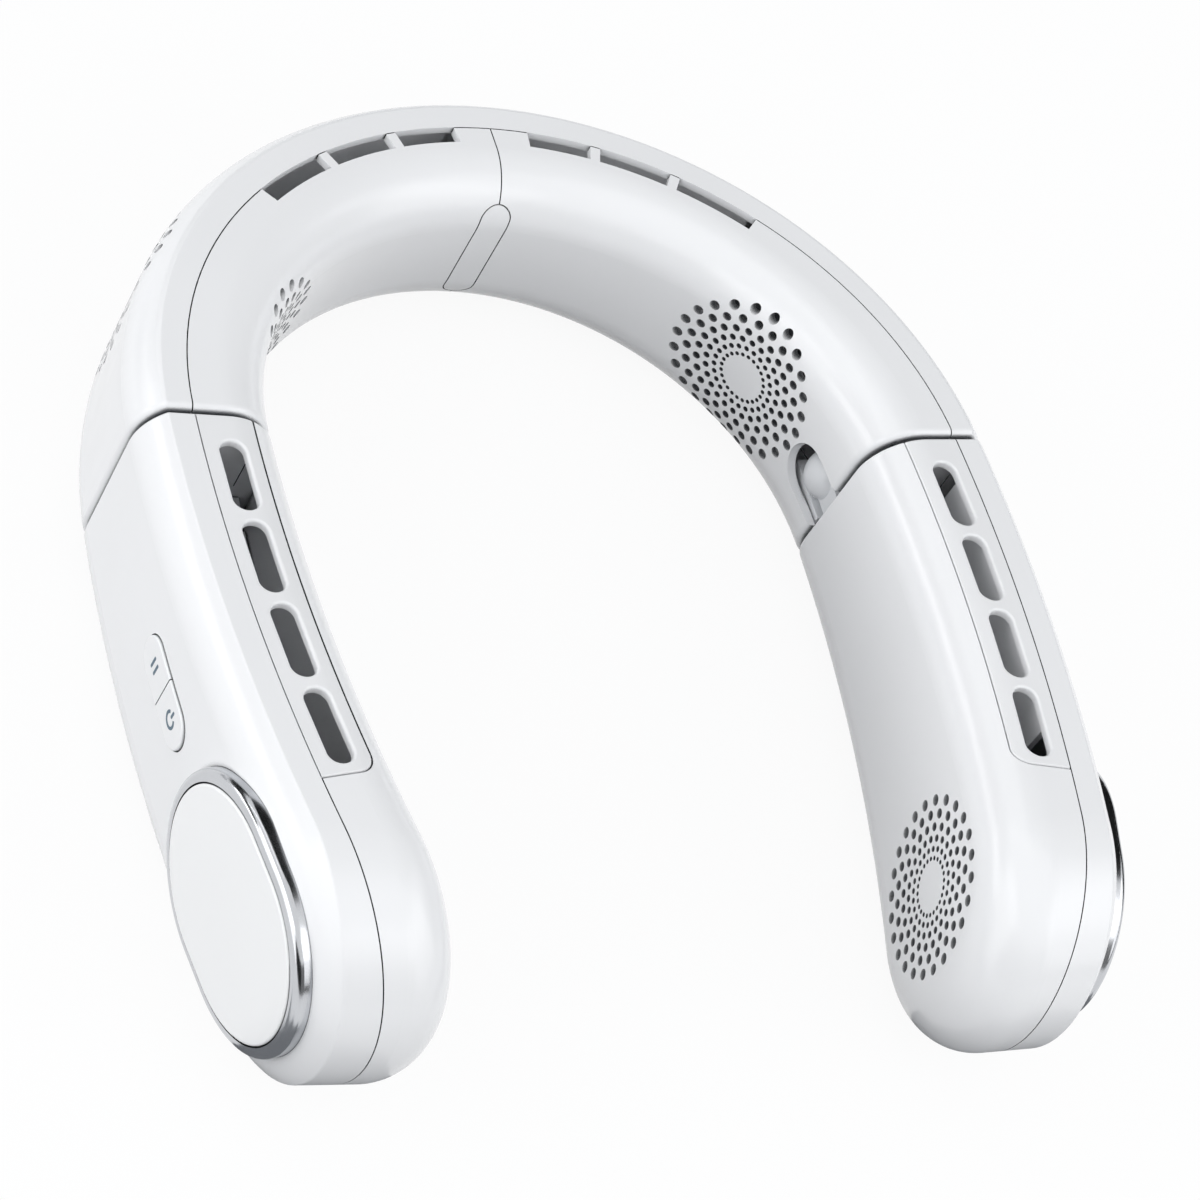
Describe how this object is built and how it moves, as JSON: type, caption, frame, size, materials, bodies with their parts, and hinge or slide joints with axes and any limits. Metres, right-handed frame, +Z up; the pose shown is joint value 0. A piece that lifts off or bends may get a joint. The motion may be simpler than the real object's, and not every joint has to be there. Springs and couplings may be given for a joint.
{
  "type": "electric neck fan",
  "caption": "Hands-free bladeless neck fan: a stiff white band behind the neck with perforated intakes and top air slots, and hinged arms with enclosed blowers.",
  "frame": {"origin": "on the plane the fan rests on, at the centre of curvature of the neck band", "axes": "+Z up, +Y towards the nape (the middle of the band), +X towards the arm without buttons; the arms run towards -Y"},
  "size_m": [0.1775, 0.2074, 0.0556],
  "materials": {
    "shell_white": "glossy white ABS",
    "trim_white": "glossy white ABS trim",
    "cap_white": "smooth white ABS",
    "ring_chrome": "bright chrome plating",
    "button_white": "white ABS with printed signs",
    "wheel_plastic": "pale grey moulded wheel",
    "pin_steel": "ground steel",
    "magnet": "bonded ferrite ring",
    "stator_copper": "copper windings on a laminated core",
    "inner_plastic": "unpolished moulding",
    "hinge_plastic": "plain moulded hinge part",
    "cell_sleeve": "blue heat-shrink sleeve over a metal can",
    "board_green": "green solder mask",
    "switch_black": "black switch body",
    "socket_steel": "drawn steel shell"
  },
  "bodies": {
    "band": {"band_inner_cover_left": "shell_white", "band_inner_cover_right": "shell_white", "band_left_air_duct": "inner_plastic", "band_left_motor_mount": "inner_plastic", "band_left_motor_stator": "stator_copper", "band_outer_cover": "shell_white", "band_right_air_duct": "inner_plastic", "band_right_motor_mount": "inner_plastic", "band_right_motor_stator": "stator_copper", "band_trim": "trim_white", "left_hinge_bracket": "hinge_plastic", "left_hinge_pin": "pin_steel", "right_hinge_bracket": "hinge_plastic", "right_hinge_pin": "pin_steel"},
    "right_arm": {"right_arm_air_duct": "inner_plastic", "right_arm_battery_cell": "cell_sleeve", "right_arm_cap": "cap_white", "right_arm_cap_ring": "ring_chrome", "right_arm_hinge_knuckle": "hinge_plastic", "right_arm_inner_cover": "shell_white", "right_arm_motor_mount": "inner_plastic", "right_arm_motor_stator": "stator_copper", "right_arm_outer_cover": "shell_white", "right_arm_outlet_grille": "shell_white"},
    "left_arm": {"left_arm_air_duct": "inner_plastic", "left_arm_battery_cell": "cell_sleeve", "left_arm_cap": "cap_white", "left_arm_cap_ring": "ring_chrome", "left_arm_charging_socket": "socket_steel", "left_arm_control_board": "board_green", "left_arm_hinge_knuckle": "hinge_plastic", "left_arm_inner_cover": "shell_white", "left_arm_mode_switch": "switch_black", "left_arm_motor_mount": "inner_plastic", "left_arm_motor_stator": "stator_copper", "left_arm_outer_cover": "shell_white", "left_arm_outlet_grille": "shell_white", "left_arm_power_switch": "switch_black"},
    "right_arm_fan": {"right_arm_fan_shaft": "pin_steel", "right_arm_impeller": "wheel_plastic", "right_arm_magnet_ring": "magnet"},
    "left_arm_fan": {"left_arm_fan_shaft": "pin_steel", "left_arm_impeller": "wheel_plastic", "left_arm_magnet_ring": "magnet"},
    "band_right_fan": {"band_right_fan_shaft": "pin_steel", "band_right_impeller": "wheel_plastic", "band_right_magnet_ring": "magnet"},
    "band_left_fan": {"band_left_fan_shaft": "pin_steel", "band_left_impeller": "wheel_plastic", "band_left_magnet_ring": "magnet"},
    "mode_button": {"left_arm_mode_button": "button_white"},
    "power_button": {"left_arm_power_button": "button_white"}
  },
  "joints": [
    {"name": "right_arm_hinge", "type": "hinge", "parent": "band", "child": "right_arm", "pos_m": [0.06718, 0.01035, 0.0196], "axis": [0, 0, -1], "range_deg": [0, 20]},
    {"name": "right_arm_fan_spin", "type": "hinge", "parent": "right_arm", "child": "right_arm_fan", "pos_m": [0.06789, -0.09012, 0.0278], "axis": [0.9826, -0.1859, 0], "continuous": true},
    {"name": "band_right_fan_spin", "type": "hinge", "parent": "band", "child": "band_right_fan", "pos_m": [0.06333, 0.04019, 0.0208], "axis": [0.8443, 0.5358, 0], "continuous": true},
    {"name": "left_arm_hinge", "type": "hinge", "parent": "band", "child": "left_arm", "pos_m": [-0.06718, 0.01035, 0.0196], "axis": [0, 0, 1], "range_deg": [0, 20]},
    {"name": "left_arm_fan_spin", "type": "hinge", "parent": "left_arm", "child": "left_arm_fan", "pos_m": [-0.06789, -0.09012, 0.0278], "axis": [-0.9826, -0.1859, 0], "continuous": true},
    {"name": "band_left_fan_spin", "type": "hinge", "parent": "band", "child": "band_left_fan", "pos_m": [-0.06333, 0.04019, 0.0208], "axis": [-0.8443, 0.5358, 0], "continuous": true},
    {"name": "mode_button_press", "type": "slide", "parent": "left_arm", "child": "mode_button", "axis": [0.997, 0.0769, 0], "range_m": [0, 0.0005], "stiffness_N_per_m": 800, "springref_m": -0.0005},
    {"name": "power_button_press", "type": "slide", "parent": "left_arm", "child": "power_button", "axis": [0.997, 0.0769, 0], "range_m": [0, 0.0005], "stiffness_N_per_m": 800, "springref_m": -0.0005}
  ]
}
